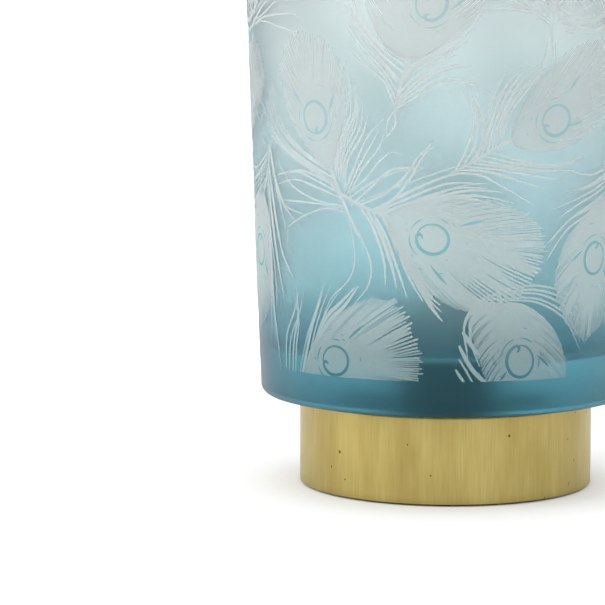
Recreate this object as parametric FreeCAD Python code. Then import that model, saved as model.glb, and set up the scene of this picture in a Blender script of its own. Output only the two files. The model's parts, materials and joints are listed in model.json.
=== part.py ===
"""Cordless table lamp: a tapered frosted-glass shade on a brushed brass drum, run from three AA cells.

A screw-in LED bulb stands in a black socket in the middle of the glass floor. The socket's collar ring
clamps the glass onto the drum. The drum hides the battery tray, the timer board and a steel weight.
Millimetres, +Z up. The origin is the centre of the foot circle, on the table. The front is -Y.
"""

import FreeCAD
import Part
import math
import os

V = FreeCAD.Vector

# ---- driving dimensions ----
LAMP_HEIGHT = 250.0
DRUM_RADIUS = 45.4
GLASS_FOOT_RADIUS = 57.5  # outside of the glass wall, just above its rounded foot
GLASS_TAPER = 0.035  # the wall leans out by this much for each mm of height
GLASS_WALL = 2.8
GLASS_FLOOR = 15.0  # the heavy foot of the glass
GLASS_FOOT_ROUND = 2.6
GLASS_INNER_ROUND = 6.0
DECK_TOP = 27.6
CELL_RADIUS = 7.1
CELL_LENGTH = 50.5

# ---- the drum and the stack above it, from the table up ----
FOOT_PAD = 1.2
DRUM_RIM = 0.6  # the drum ends just above the table
DRUM_WALL = 0.8
DRUM_CORNER = 1.6
HEM_HEIGHT = 2.0
HEM_WALL = 1.4
DECK_UNDER = DECK_TOP - DRUM_WALL
GASKET = 0.8
LOWER_GASKET_RADIUS = 24.0
UPPER_GASKET_RADIUS = 20.0
GLASS_UNDER = DECK_TOP + GASKET
GLASS_INSIDE = GLASS_UNDER + GLASS_FLOOR
RING_FOOT = GLASS_INSIDE + GASKET
RING_HEIGHT = 9.0
WEIGHT_UNDER = DECK_UNDER - 2.5

# ---- socket ----
SOCKET_RADIUS = 14.5
SOCKET_TOP = 57.0
SOCKET_FLANGE_RADIUS = 19.0
SOCKET_FLANGE_UNDER = DECK_UNDER - 2.5
SOCKET_BORE = 8.4
SOCKET_BED = DECK_TOP + 0.4  # inside bottom of the socket
DECK_HOLE = SOCKET_RADIUS + 0.3
GLASS_HOLE = SOCKET_RADIUS + 1.0
RING_BORE = SOCKET_RADIUS + 0.15
TERMINAL_X = 6.0

# ---- screw bulb, to the small standard cap ----
SCREW_PITCH = 2.82
CAP_CREST = 6.95
CAP_ROOT = 6.45
CAP_MIDDLE = (CAP_CREST + CAP_ROOT) / 2
CAP_SHEET = 0.35
CAP_WAIST = 4.6
SHELL_GAP = 0.2
SHELL_SHEET = 0.5
TIP_UNDER = SOCKET_BED + 2.4
TIP_TOP = TIP_UNDER + 0.9
INSULATOR_TOP = TIP_UNDER + 3.1
THREAD_FOOT = INSULATOR_TOP + 1.8
THREAD_TURNS = 5
THREAD_TOP = THREAD_FOOT + THREAD_TURNS * SCREW_PITCH
CAP_TOP = THREAD_TOP + 7.6
GLOBE_RADIUS = 22.5
GLOBE_CENTRE = CAP_TOP + 29.0
GLOBE_GLASS = 0.9
NECK_RADIUS = 7.4
NECK_HEIGHT = 3.0
STEM_RADIUS = 2.1
STEM_TOP = GLOBE_CENTRE - 12.0
FILAMENTS = 4
FILAMENT_RADIUS = 0.9
FILAMENT_FOOT = (4.4, GLOBE_CENTRE - 10.5)  # distance from the axis, height
FILAMENT_HEAD = (8.4, GLOBE_CENTRE + 13.0)
LEAD_RADIUS = 0.35

# ---- battery tray, in the base plate ----
PLATE_RADIUS = DRUM_RADIUS - HEM_WALL - 0.6
PLATE_UNDER = FOOT_PAD
PLATE = 2.5
PLATE_TOP = PLATE_UNDER + PLATE
CELL_PITCH = 14.9
CELL_ROW_Y = 3.0
CELL_AXIS_Z = 11.2
TRAY_X = 29.2  # half the tray's inside length
TRAY_Y = 22.6  # half the tray's inside width
TRAY_BACK = CELL_ROW_Y + TRAY_Y
TRAY_FRONT = CELL_ROW_Y - TRAY_Y
TRAY_WALL = 1.3
TRAY_INSIDE_TOP = 18.9
TRAY_TOP = TRAY_INSIDE_TOP + TRAY_WALL
CONTACT_SHEET = 0.4
CONTACT_HALF = 5.5
CONTACT_FACE = TRAY_X - CONTACT_SHEET
LUG_HALF = 1.5
LUG_TOP = TRAY_TOP + 1.8
SPRING_RINGS = 5
SPRING_WIRE = 0.35
DOOR_THICK = 2.0
DOOR_GAP = 0.3
DOOR_FRONT = TRAY_FRONT + DOOR_GAP
DOOR_TOP = PLATE_UNDER + DOOR_THICK
HINGE_Y = TRAY_BACK - 1.2
HINGE_Z = PLATE_UNDER + 1.0
HINGE_BARREL = 1.0
HINGE_PIN = 0.7
HINGE_PIN_LENGTH = 1.6

# ---- timer board and switch ----
BOARD_UNDER = 9.0
BOARD_TOP = BOARD_UNDER + 1.2
BOARD_X = 44.0
BOARD_Y = 12.0
BOARD_CENTRE_Y = -29.5
POST_X = 18.5
POST_RADIUS = 2.3
POST_BORE = 0.85
SWITCH_TRAVEL = 2.0  # each way from the middle, which is off
KNOB_HALF = 2.0
SWITCH_HALF_X = 6.0
SWITCH_HALF_Y = 2.8
SWITCH_WALL = 0.7

# ---- wires in the drum ----
WIRE_RADIUS = 0.7
WIRE_BEND = 2.8
SOCKET_WIRE_Z = (TRAY_TOP + SOCKET_FLANGE_UNDER) / 2
BATTERY_WIRE_Z = TRAY_TOP + WIRE_RADIUS + 0.3

# ---- fasteners and feet ----
STANDOFF_CIRCLE = 37.8
STANDOFF_ANGLES = (90.0, 222.0, 318.0)
STANDOFF_RADIUS = 3.0
STANDOFF_BORE = 1.3
SCREW_CORE = 1.25
SCREW_HEAD = 2.7
COUNTERBORE = 1.5
FOOT_RADIUS = 4.0
FOOT_PLACES = ((38.0, 0.0), (-38.0, 0.0), (18.5, 33.6), (-18.5, 33.6), (15.5, -34.6), (-15.5, -34.6))


# ---- shape helpers ----
def ring(inner, outer, low, high):
    """A flat ring or a tube about the Z axis."""
    body = Part.makeCylinder(outer, high - low, V(0, 0, low))
    return body.cut(Part.makeCylinder(inner, high - low + 2, V(0, 0, low - 1)))


def disc(radius, low, high, x=0.0, y=0.0):
    """An upright cylinder."""
    return Part.makeCylinder(radius, high - low, V(x, y, low))


def rod(radius, start, end):
    """A cylinder from one point to another."""
    return Part.makeCylinder(radius, (end - start).Length, start, end - start)


def block(x, y, z):
    """A box from three (low, high) pairs."""
    return Part.makeBox(x[1] - x[0], y[1] - y[0], z[1] - z[0], V(x[0], y[0], z[0]))


def span(middle, half):
    """The (low, high) pair about a middle."""
    return (middle - half, middle + half)


def rounded_block(x, y, z, radius):
    """A box with rounded upright corners."""
    body = block(x, y, z)
    upright = [edge for edge in body.Edges if edge.BoundBox.ZLength > 0.5 * (z[1] - z[0])]
    return body.makeFillet(radius, upright)


def bent(corner, radius, from_angle, to_angle):
    """The middle and end of an arc about corner, as a step for turned(). Angles are in degrees."""
    points = []
    for angle in ((from_angle + to_angle) / 2, to_angle):
        a = math.radians(angle)
        points.append((corner[0] + radius * math.cos(a), corner[1] + radius * math.sin(a)))
    return tuple(points)


def turned(start, *steps):
    """An outline turned round the Z axis, from (radius, height) points.

    A step is the end point of a line, or (middle, end) for an arc through both. The last step closes it.
    """
    edges = []
    here = V(start[0], 0, start[1])
    for step in steps:
        if isinstance(step[0], tuple):
            middle = V(step[0][0], 0, step[0][1])
            end = V(step[1][0], 0, step[1][1])
            edges.append(Part.Arc(here, middle, end).toShape())
        else:
            end = V(step[0], 0, step[1])
            edges.append(Part.makeLine(here, end))
        here = end
    edges.append(Part.makeLine(here, V(start[0], 0, start[1])))
    return Part.Face(Part.Wire(edges)).revolve(V(0, 0, 0), V(0, 0, 1), 360)


def around(angles, radius):
    """The (x, y) at each angle of a circle, in degrees."""
    return [(radius * math.cos(math.radians(a)), radius * math.sin(math.radians(a))) for a in angles]


def joined(shapes):
    """One solid from several that overlap."""
    whole = shapes[0]
    for shape in shapes[1:]:
        whole = whole.fuse(shape)
    return whole.removeSplitter()


def without(body, tools):
    """The body with each tool cut away."""
    for tool in tools:
        body = body.cut(tool)
    return body


def wire(points, radius, bend):
    """A round wire along straight runs joined by tangent arcs of radius bend."""
    points = [V(*point) for point in points]
    edges = []
    here = points[0]
    for before, corner, after in zip(points, points[1:], points[2:]):
        into = (corner - before).normalize()
        out = (after - corner).normalize()
        half_turn = into.getAngle(out) / 2
        cut = bend * math.tan(half_turn)
        arc_start = corner - into * cut
        arc_end = corner + out * cut
        inward = (out - into).normalize()
        arc_middle = corner + inward * (bend / math.cos(half_turn) - bend)
        edges.append(Part.makeLine(here, arc_start))
        edges.append(Part.Arc(arc_start, arc_middle, arc_end).toShape())
        here = arc_end
    edges.append(Part.makeLine(here, points[-1]))
    section = Part.Wire(Part.makeCircle(radius, points[0], points[1] - points[0]))
    return Part.Wire(edges).makePipeShell([section], True, True)


def thread_up(root, crest):
    """The rolled thread's outline, upward from THREAD_FOOT: a root arc and a crest arc each turn."""
    quarter = SCREW_PITCH / 4
    middle = (root + crest) / 2
    steps = []
    for turn in range(THREAD_TURNS):
        z = THREAD_FOOT + turn * SCREW_PITCH
        steps.append(((root, z + quarter), (middle, z + 2 * quarter)))
        steps.append(((crest, z + 3 * quarter), (middle, z + 4 * quarter)))
    return steps


def thread_down(root, crest):
    """The same outline, downward from THREAD_TOP."""
    quarter = SCREW_PITCH / 4
    middle = (root + crest) / 2
    steps = []
    for turn in reversed(range(THREAD_TURNS)):
        z = THREAD_FOOT + turn * SCREW_PITCH
        steps.append(((crest, z + 3 * quarter), (middle, z + 2 * quarter)))
        steps.append(((root, z + quarter), (middle, z)))
    return steps


# ---- glass, drum and the ring that clamps them ----
def glass_shade():
    """The tapered glass: a thick floor with a hole for the socket, a rounded foot and a melted rim."""
    rim_round = GLASS_WALL / 2
    lean = math.degrees(math.atan(GLASS_TAPER))
    foot_corner = (GLASS_FOOT_RADIUS - GLASS_FOOT_ROUND, GLASS_UNDER + GLASS_FOOT_ROUND)
    foot = bent(foot_corner, GLASS_FOOT_ROUND, -90, -lean)
    rim_z = LAMP_HEIGHT - rim_round
    rim_outer = (foot[1][0] + (rim_z - foot[1][1]) * GLASS_TAPER, rim_z)
    rim_top = (rim_outer[0] - rim_round, LAMP_HEIGHT)
    rim_inner = (rim_outer[0] - GLASS_WALL, rim_z)
    inner_z = GLASS_INSIDE + GLASS_INNER_ROUND
    inner_wall = rim_inner[0] - (rim_z - inner_z) * GLASS_TAPER
    inner_corner = (inner_wall - GLASS_INNER_ROUND, inner_z)
    return turned(
        (GLASS_HOLE, GLASS_UNDER),
        (foot_corner[0], GLASS_UNDER),
        foot,
        rim_outer,
        (rim_top, rim_inner),
        (inner_wall, inner_z),
        bent(inner_corner, GLASS_INNER_ROUND, 0, -90),
        (GLASS_HOLE, GLASS_INSIDE),
    )


def base_drum():
    """The spun brass drum: a skirt with a hemmed rim, and a deck with the socket's hole."""
    inside = DRUM_RADIUS - DRUM_WALL
    hem = DRUM_RADIUS - HEM_WALL
    corner = (DRUM_RADIUS - DRUM_CORNER, DECK_TOP - DRUM_CORNER)
    return turned(
        (DRUM_RADIUS, DRUM_RIM),
        (DRUM_RADIUS, corner[1]),
        bent(corner, DRUM_CORNER, 0, 90),
        (DECK_HOLE, DECK_TOP),
        (DECK_HOLE, DECK_UNDER),
        (corner[0], DECK_UNDER),
        bent(corner, DRUM_CORNER - DRUM_WALL, 90, 0),
        (inside, DRUM_RIM + HEM_HEIGHT + 0.6),
        (hem, DRUM_RIM + HEM_HEIGHT),
        (hem, DRUM_RIM),
    )


def lower_gasket():
    return ring(GLASS_HOLE, LOWER_GASKET_RADIUS, DECK_TOP, GLASS_UNDER)


def upper_gasket():
    return ring(GLASS_HOLE, UPPER_GASKET_RADIUS, GLASS_INSIDE, RING_FOOT)


def clamp_ring():
    """The collar that screws down the socket's sleeve onto the glass floor, with finger flutes."""
    flange = 2.2
    flange_radius = 20.5
    grip_radius = 18.2
    ease = 1.0
    top = RING_FOOT + RING_HEIGHT
    grip_foot = RING_FOOT + flange + ease
    body = turned(
        (RING_BORE, RING_FOOT),
        (flange_radius, RING_FOOT),
        (flange_radius, RING_FOOT + flange),
        (grip_radius, grip_foot),
        (grip_radius, top - ease),
        bent((grip_radius - ease, top - ease), ease, 0, 90),
        (RING_BORE, top),
    )
    flutes = 20
    places = around([i * 360 / flutes for i in range(flutes)], grip_radius + 0.5)
    return without(body, [disc(1.1, grip_foot, top + 1, x, y) for x, y in places])


# ---- socket ----
def socket_body():
    """The black moulded socket: a ridged sleeve, a flange under the deck and a bored middle."""
    ridge_pitch = 2.0
    ridge_depth = 0.45
    ease = 1.2
    ridges = int((SOCKET_TOP - ease - RING_FOOT) // ridge_pitch)
    wall = []
    for i in range(ridges):
        z = RING_FOOT + i * ridge_pitch
        wall.append((SOCKET_RADIUS - ridge_depth, z + ridge_pitch / 2))
        wall.append((SOCKET_RADIUS, z + ridge_pitch))
    body = turned(
        (0, SOCKET_FLANGE_UNDER),
        (SOCKET_FLANGE_RADIUS, SOCKET_FLANGE_UNDER),
        (SOCKET_FLANGE_RADIUS, DECK_UNDER),
        (SOCKET_RADIUS, DECK_UNDER),
        (SOCKET_RADIUS, RING_FOOT),
        *wall,
        (SOCKET_RADIUS, SOCKET_TOP - ease),
        (SOCKET_RADIUS - ease, SOCKET_TOP),
        (SOCKET_BORE + ease, SOCKET_TOP),
        (SOCKET_BORE, SOCKET_TOP - ease),
        (SOCKET_BORE, SOCKET_BED),
        (0, SOCKET_BED),
    )
    lead_ways = [disc(1.1, SOCKET_FLANGE_UNDER - 1, SOCKET_BED + 1, side * TERMINAL_X) for side in (-1, 1)]
    return without(body, lead_ways)


def socket_shell():
    """The brass screw shell that the bulb's cap turns in, on two tabs down to the socket's bed."""
    root = CAP_ROOT + SHELL_GAP
    crest = CAP_CREST + SHELL_GAP
    inside = (root + crest) / 2
    outside = inside + SHELL_SHEET
    under = THREAD_FOOT - 2.0
    lip = THREAD_TOP + 1.5
    shell = turned(
        (inside, under),
        (inside, THREAD_FOOT),
        *thread_up(root, crest),
        (inside, lip),
        (outside, lip),
        (outside, THREAD_TOP),
        *thread_down(root + SHELL_SHEET, crest + SHELL_SHEET),
        (outside, under),
    )
    tabs = []
    for side in (-1, 1):
        x = span(side * (inside + outside) / 2, SHELL_SHEET / 2)
        tabs.append(block(x, (-1.5, 1.5), (SOCKET_BED, under + 0.5)))
    return joined([shell] + tabs)


def centre_contact():
    """The sprung leaf under the bulb's tip: a foot strip, bent up and over."""
    width = (-1.8, 1.8)
    sheet = 0.4
    reach = 4.2
    leaf_top = TIP_UNDER - 0.05
    foot = block((-reach, reach), width, (SOCKET_BED, SOCKET_BED + sheet))
    riser = block((reach - sheet, reach), width, (SOCKET_BED, leaf_top))
    leaf = block((-2.2, reach), width, (leaf_top - sheet, leaf_top))
    return joined([foot, riser, leaf])


def socket_terminals():
    """Two brass terminal blocks under the socket's floor, each bored for its wire."""
    blocks = []
    for side in (-1, 1):
        x = side * TERMINAL_X
        body = block(span(x, 2.6), (-3.0, 3.0), (TRAY_TOP + 0.5, SOCKET_FLANGE_UNDER))
        bore = rod(WIRE_RADIUS + 0.1, V(x, -3.5, SOCKET_WIRE_Z), V(x, 1.0, SOCKET_WIRE_Z))
        blocks.append(body.cut(bore))
    return Part.makeCompound(blocks)


# ---- bulb ----
def bulb_cap():
    """The plated screw cap: a waist, a rolled thread and a plain skirt."""
    skirt = CAP_CREST - 0.1
    ease_top = THREAD_TOP + 1.0
    inside = CAP_MIDDLE - CAP_SHEET
    return turned(
        (CAP_WAIST, INSULATOR_TOP),
        (CAP_MIDDLE, THREAD_FOOT),
        *thread_up(CAP_ROOT, CAP_CREST),
        (skirt, ease_top),
        (skirt, CAP_TOP),
        (skirt - CAP_SHEET, CAP_TOP),
        (skirt - CAP_SHEET, ease_top),
        (inside, THREAD_TOP),
        *thread_down(CAP_ROOT - CAP_SHEET, CAP_CREST - CAP_SHEET),
        (CAP_WAIST - CAP_SHEET, INSULATOR_TOP),
    )


def bulb_insulator():
    """The black glass cone between the cap and the tip."""
    return turned((0, TIP_TOP), (2.6, TIP_TOP), (CAP_WAIST, INSULATOR_TOP), (0, INSULATOR_TOP))


def bulb_tip():
    """The domed solder tip."""
    dome = 2.9
    edge = math.degrees(math.asin(1 - (TIP_TOP - TIP_UNDER) / dome))
    return turned((0, TIP_UNDER), bent((0, TIP_UNDER + dome), dome, -90, -edge), (0, TIP_TOP))


def globe_outline(inset):
    """The neck's top, then arcs for the flare and the ball, to the top of the globe, inset by a wall."""
    neck_z = CAP_TOP + NECK_HEIGHT
    rise = GLOBE_CENTRE - neck_z
    flare = (NECK_RADIUS**2 + rise**2 - GLOBE_RADIUS**2) / (2 * (GLOBE_RADIUS - NECK_RADIUS))
    flare_x = NECK_RADIUS + flare
    lean = math.degrees(math.atan2(rise, -flare_x))
    centre = (flare_x, neck_z)
    ball = GLOBE_RADIUS - inset
    ball_lean = lean - 180
    return {
        "neck": (NECK_RADIUS - inset, neck_z),
        "flare": bent(centre, flare + inset, 180, lean),
        "flare_back": bent(centre, flare + inset, lean, 180),
        "ball": bent((0, GLOBE_CENTRE), ball, ball_lean, 90),
        "ball_back": bent((0, GLOBE_CENTRE), ball, 90, ball_lean),
        "top": (0.0, GLOBE_CENTRE + ball),
    }


def bulb_globe():
    """The clear glass ball, with a neck that stands on the cap."""
    outside = globe_outline(0)
    inside = globe_outline(GLOBE_GLASS)
    return turned(
        (inside["neck"][0], CAP_TOP),
        (outside["neck"][0], CAP_TOP),
        outside["neck"],
        outside["flare"],
        outside["ball"],
        inside["top"],
        inside["ball_back"],
        inside["flare_back"],
    )


def bulb_stem():
    """The glass stem that carries the filaments, flared at its foot."""
    foot = CAP_TOP - 3.0
    foot_radius = 5.6
    return turned(
        (0, foot),
        (foot_radius, foot),
        (foot_radius, foot + 1.0),
        ((3.0, CAP_TOP + 2.0), (STEM_RADIUS, CAP_TOP + 8.0)),
        (STEM_RADIUS, STEM_TOP),
        (0, STEM_TOP),
    )


def filament_ends(i):
    """The low and high end of filament i, which leans out from the stem."""
    a = math.radians(45 + i * 360 / FILAMENTS)
    ends = []
    for radius, z in (FILAMENT_FOOT, FILAMENT_HEAD):
        ends.append(V(radius * math.cos(a), radius * math.sin(a), z))
    return ends


def bulb_filaments():
    """The LED sticks."""
    return Part.makeCompound([rod(FILAMENT_RADIUS, *filament_ends(i)) for i in range(FILAMENTS)])


def bulb_leads():
    """The wire cross on the stem that feeds the sticks' feet, and the crown that ties their heads."""
    hub = V(0, 0, STEM_TOP + 0.5)
    crown = V(0, 0, FILAMENT_HEAD[1] + 2.0)
    cross = [disc(1.2, STEM_TOP, STEM_TOP + 1.0)]
    ties = []
    for i in range(FILAMENTS):
        low, high = filament_ends(i)
        cross.append(rod(LEAD_RADIUS, hub, low))
        ties.append(rod(LEAD_RADIUS, crown, high))
    leads = []
    for group in (cross, ties):
        cut = joined(group).cut(bulb_filaments())
        leads.append(max(cut.Solids, key=lambda solid: solid.Volume))
    return Part.makeCompound(leads)


# ---- base plate, door and feet ----
def base_plate():
    """The black moulded underside: plate, battery tray and board posts, with their holes and recesses."""
    tray = block(
        (-TRAY_X - TRAY_WALL, TRAY_X + TRAY_WALL),
        (TRAY_FRONT - TRAY_WALL, TRAY_BACK + TRAY_WALL),
        (PLATE_UNDER, TRAY_TOP),
    )
    parts = [disc(PLATE_RADIUS, PLATE_UNDER, PLATE_TOP), tray]
    for side in (-1, 1):
        parts.append(disc(POST_RADIUS, PLATE_UNDER, BOARD_UNDER, side * POST_X, BOARD_CENTRE_Y))
    body = joined(parts)
    body = body.cut(block((-TRAY_X, TRAY_X), (TRAY_FRONT, TRAY_BACK), (PLATE_UNDER - 1, TRAY_INSIDE_TOP)))
    ribs = []
    for side in (-0.5, 0.5):
        y = span(CELL_ROW_Y + side * CELL_PITCH, 0.4)
        ribs.append(block((-TRAY_X - 0.3, TRAY_X + 0.3), y, (TRAY_INSIDE_TOP - 2.0, TRAY_INSIDE_TOP + 0.3)))
    body = joined([body] + ribs)
    return without(body, plate_holes() + plate_recesses())


def plate_holes():
    """Holes through the plate and tray, for the screws, the lugs and the switch."""
    holes = []
    for x, y in around(STANDOFF_ANGLES, STANDOFF_CIRCLE):
        holes.append(disc(SCREW_CORE + 0.4, PLATE_UNDER - 1, PLATE_TOP + 1, x, y))
    for side in (-1, 1):
        holes.append(disc(POST_BORE, BOARD_UNDER - 5.0, BOARD_UNDER + 1, side * POST_X, BOARD_CENTRE_Y))
    for side, cell in ((1, 0), (-1, 2)):
        x = span(side * (TRAY_X - CONTACT_SHEET / 2), CONTACT_SHEET / 2 + 0.1)
        y = span(cell_y(cell), LUG_HALF + 0.1)
        holes.append(block(x, y, (TRAY_INSIDE_TOP - 1, TRAY_TOP + 1)))
    knob_way = SWITCH_TRAVEL + KNOB_HALF + 0.6
    holes.append(block((-knob_way, knob_way), span(BOARD_CENTRE_Y, 1.6), (0, PLATE_TOP + 1)))
    return holes


def plate_recesses():
    """Counterbores, the switch's dished surround, the finger notch and the hinge's pin holes."""
    recesses = []
    for x, y in around(STANDOFF_ANGLES, STANDOFF_CIRCLE):
        recesses.append(disc(SCREW_HEAD + 0.2, PLATE_UNDER - 1, PLATE_UNDER + COUNTERBORE, x, y))
    dish = (PLATE_UNDER - 1, PLATE_UNDER + 0.9)
    recesses.append(rounded_block((-7.1, 7.1), span(BOARD_CENTRE_Y, 3.4), dish, 2.0))
    recesses.append(disc(6.0, PLATE_UNDER - 1, PLATE_UNDER + 1.3, 0, TRAY_FRONT + 1.0))
    pin_end = TRAY_X + HINGE_PIN_LENGTH + 0.2
    recesses.append(rod(HINGE_PIN + 0.06, V(-pin_end, HINGE_Y, HINGE_Z), V(pin_end, HINGE_Y, HINGE_Z)))
    return recesses


def battery_door():
    """The door: a panel with a hinge barrel and pins at the back, and a thin sprung tongue at the front."""
    half = TRAY_X - DOOR_GAP
    pin_end = TRAY_X + HINGE_PIN_LENGTH
    panel = block((-half, half), (DOOR_FRONT, HINGE_Y), (PLATE_UNDER, DOOR_TOP))
    barrel = rod(HINGE_BARREL, V(-half, HINGE_Y, HINGE_Z), V(half, HINGE_Y, HINGE_Z))
    pins = rod(HINGE_PIN, V(-pin_end, HINGE_Y, HINGE_Z), V(pin_end, HINGE_Y, HINGE_Z))
    tongue = 5.5
    tongue_back = DOOR_FRONT + 8.0
    slit = 0.4
    tools = []
    for side in (-1, 1):
        x = span(side * (tongue + slit), slit)
        tools.append(block(x, (DOOR_FRONT - 1, tongue_back), (0, DOOR_TOP + 1)))
    tools.append(block((-tongue, tongue), (DOOR_FRONT - 1, tongue_back), (DOOR_TOP - 0.7, DOOR_TOP + 1)))
    for i in range(4):
        y = DOOR_FRONT + 2.0 + i * 1.5
        tools.append(block((-4.0, 4.0), (y, y + 0.6), (PLATE_UNDER - 1, PLATE_UNDER + 0.3)))
    return without(joined([panel, barrel, pins]), tools)


def feet():
    """The six soft pads that the lamp stands on."""
    pads = []
    for x, y in FOOT_PLACES:
        pad = disc(FOOT_RADIUS, 0, FOOT_PAD, x, y)
        pads.append(pad.makeFillet(0.35, [edge for edge in pad.Edges if edge.BoundBox.ZMax < 0.01]))
    return Part.makeCompound(pads)


# ---- cells and contacts ----
def cell_y(i):
    return CELL_ROW_Y + (i - 1) * CELL_PITCH


def cell_side(i):
    """+1 if cell i has its nub towards +X, else -1. The cells alternate."""
    return 1 if i % 2 == 0 else -1


def battery(i):
    """An AA cell: a can with eased ends and a nub."""
    nub = 1.2
    can = CELL_LENGTH - nub
    body = rod(CELL_RADIUS, V(0, 0, 0), V(can, 0, 0))
    rims = [edge for edge in body.Edges if edge.BoundBox.XLength < 0.01]
    body = joined([body.makeFillet(0.6, rims), rod(2.7, V(can - 0.2, 0, 0), V(CELL_LENGTH, 0, 0))])
    body.translate(V(CONTACT_FACE - CELL_LENGTH, 0, 0))
    if cell_side(i) < 0:
        body.rotate(V(0, 0, 0), V(0, 0, 1), 180)
    body.translate(V(0, cell_y(i), CELL_AXIS_Z))
    return body


def contact_plates():
    """The tray's end plates: at each end one for two cells and one, with a lug, for a lone cell."""
    plates = []
    for side, lone in ((1, 0), (-1, 2)):
        x = span(side * (TRAY_X - CONTACT_SHEET / 2), CONTACT_SHEET / 2)
        z = (CELL_AXIS_Z - CONTACT_HALF, CELL_AXIS_Z + CONTACT_HALF)
        single = block(x, span(cell_y(lone), CONTACT_HALF), z)
        lug = block(x, span(cell_y(lone), LUG_HALF), (CELL_AXIS_Z, LUG_TOP))
        plates.append(joined([single, lug]))
        pair_middle = (cell_y(1) + cell_y(2 - lone)) / 2
        plates.append(block(x, span(pair_middle, CONTACT_HALF + CELL_PITCH / 2), z))
    return Part.makeCompound(plates)


def contact_springs():
    """The cone springs on the cells' flat ends, each as a stack of rings and the links between them."""
    small = 2.6
    wide = 4.8
    cell_end = CELL_LENGTH - CONTACT_FACE + SPRING_WIRE + 0.05
    length = CONTACT_FACE - SPRING_WIRE - cell_end
    springs = []
    for cell in range(3):
        side = -cell_side(cell)
        parts = []
        for i in range(SPRING_RINGS):
            along = i / (SPRING_RINGS - 1)
            radius = small + along * (wide - small)
            centre = V(side * (cell_end + along * length), cell_y(cell), CELL_AXIS_Z)
            parts.append(Part.makeTorus(radius, SPRING_WIRE, centre, V(1, 0, 0)))
            on_ring = centre + V(0, radius * math.cos(i), radius * math.sin(i))
            if i > 0:
                parts.append(rod(SPRING_WIRE * 0.9, link_start, on_ring))
            link_start = on_ring
        springs.append(joined(parts))
    return Part.makeCompound(springs)


# ---- timer board and switch ----
def circuit_board():
    """The board that holds the timer and the switch."""
    y = span(BOARD_CENTRE_Y, BOARD_Y / 2)
    body = rounded_block(span(0, BOARD_X / 2), y, (BOARD_UNDER, BOARD_TOP), 1.5)
    holes = [disc(1.1, BOARD_UNDER - 1, BOARD_TOP + 1, side * POST_X, BOARD_CENTRE_Y) for side in (-1, 1)]
    return without(body, holes)


def timer_chip():
    """The timer's moulded case on four leads down each long side."""
    lead_height = 0.35
    leads = 4
    pitch = 1.27
    case_x = (-9.5, -4.5)
    parts = [block(case_x, span(BOARD_CENTRE_Y, 2.0), (BOARD_TOP + 0.2, BOARD_TOP + 1.7))]
    for i in range(leads):
        x = sum(case_x) / 2 + (i - (leads - 1) / 2) * pitch
        parts.append(block(span(x, 0.2), span(BOARD_CENTRE_Y, 3.0), (BOARD_TOP, BOARD_TOP + lead_height)))
    return joined(parts)


def capacitor():
    return disc(2.5, BOARD_TOP, BOARD_TOP + 7.0, 9.5, BOARD_CENTRE_Y - 1.0)


def quartz_crystal():
    return rounded_block((-1.5, 5.0), span(BOARD_CENTRE_Y - 1.9, 1.5), (BOARD_TOP, BOARD_TOP + 2.6), 1.3)


def resistors():
    """Four small chips in a row."""
    chips = []
    for i in range(4):
        x = span(-0.9 + i * 2.2, 0.6)
        chips.append(block(x, span(BOARD_CENTRE_Y + 2.5, 0.9), (BOARD_TOP, BOARD_TOP + 0.6)))
    return Part.makeCompound(chips)


def switch_housing():
    """The slide switch's box under the board, with a long window in its underside."""
    low = PLATE_TOP + 0.2
    body = block(span(0, SWITCH_HALF_X), span(BOARD_CENTRE_Y, SWITCH_HALF_Y), (low, BOARD_UNDER))
    cave = block(
        span(0, SWITCH_HALF_X - SWITCH_WALL),
        span(BOARD_CENTRE_Y, SWITCH_HALF_Y - SWITCH_WALL),
        (low + SWITCH_WALL, BOARD_UNDER - SWITCH_WALL),
    )
    knob_way = SWITCH_TRAVEL + KNOB_HALF + 0.3
    window = block(span(0, knob_way), span(BOARD_CENTRE_Y, 1.4), (0, low + SWITCH_WALL + 0.1))
    return without(body, [cave, window])


def switch_slider():
    """The switch's grooved knob and the shoe that slides in its box."""
    shoe_low = PLATE_TOP + 0.2 + SWITCH_WALL + 0.2
    shoe = block(span(0, 3.0), span(BOARD_CENTRE_Y, 1.9), (shoe_low, BOARD_UNDER - SWITCH_WALL - 0.3))
    knob = block(span(0, KNOB_HALF), span(BOARD_CENTRE_Y, 1.2), (PLATE_UNDER + 0.4, shoe_low + 0.5))
    grooves = []
    for i in (-1, 0, 1):
        grooves.append(block(span(i, 0.2), span(BOARD_CENTRE_Y, 2.0), (0, PLATE_UNDER + 0.75)))
    return without(joined([shoe, knob]), grooves)


# ---- weight, standoffs and screws ----
def weight_ring():
    """The steel ring glued under the deck, notched for the standoffs."""
    body = ring(SOCKET_FLANGE_RADIUS + 2.0, DRUM_RADIUS - 2.4, WEIGHT_UNDER, DECK_UNDER)
    places = around(STANDOFF_ANGLES, STANDOFF_CIRCLE)
    return without(body, [disc(STANDOFF_RADIUS + 0.6, 0, DECK_TOP, x, y) for x, y in places])


def standoffs():
    """Three posts welded under the deck, tapped for the base screws."""
    posts = []
    for x, y in around(STANDOFF_ANGLES, STANDOFF_CIRCLE):
        post = disc(STANDOFF_RADIUS, PLATE_TOP, DECK_UNDER, x, y)
        posts.append(post.cut(disc(STANDOFF_BORE, PLATE_TOP - 1, PLATE_TOP + 9.0, x, y)))
    return Part.makeCompound(posts)


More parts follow.
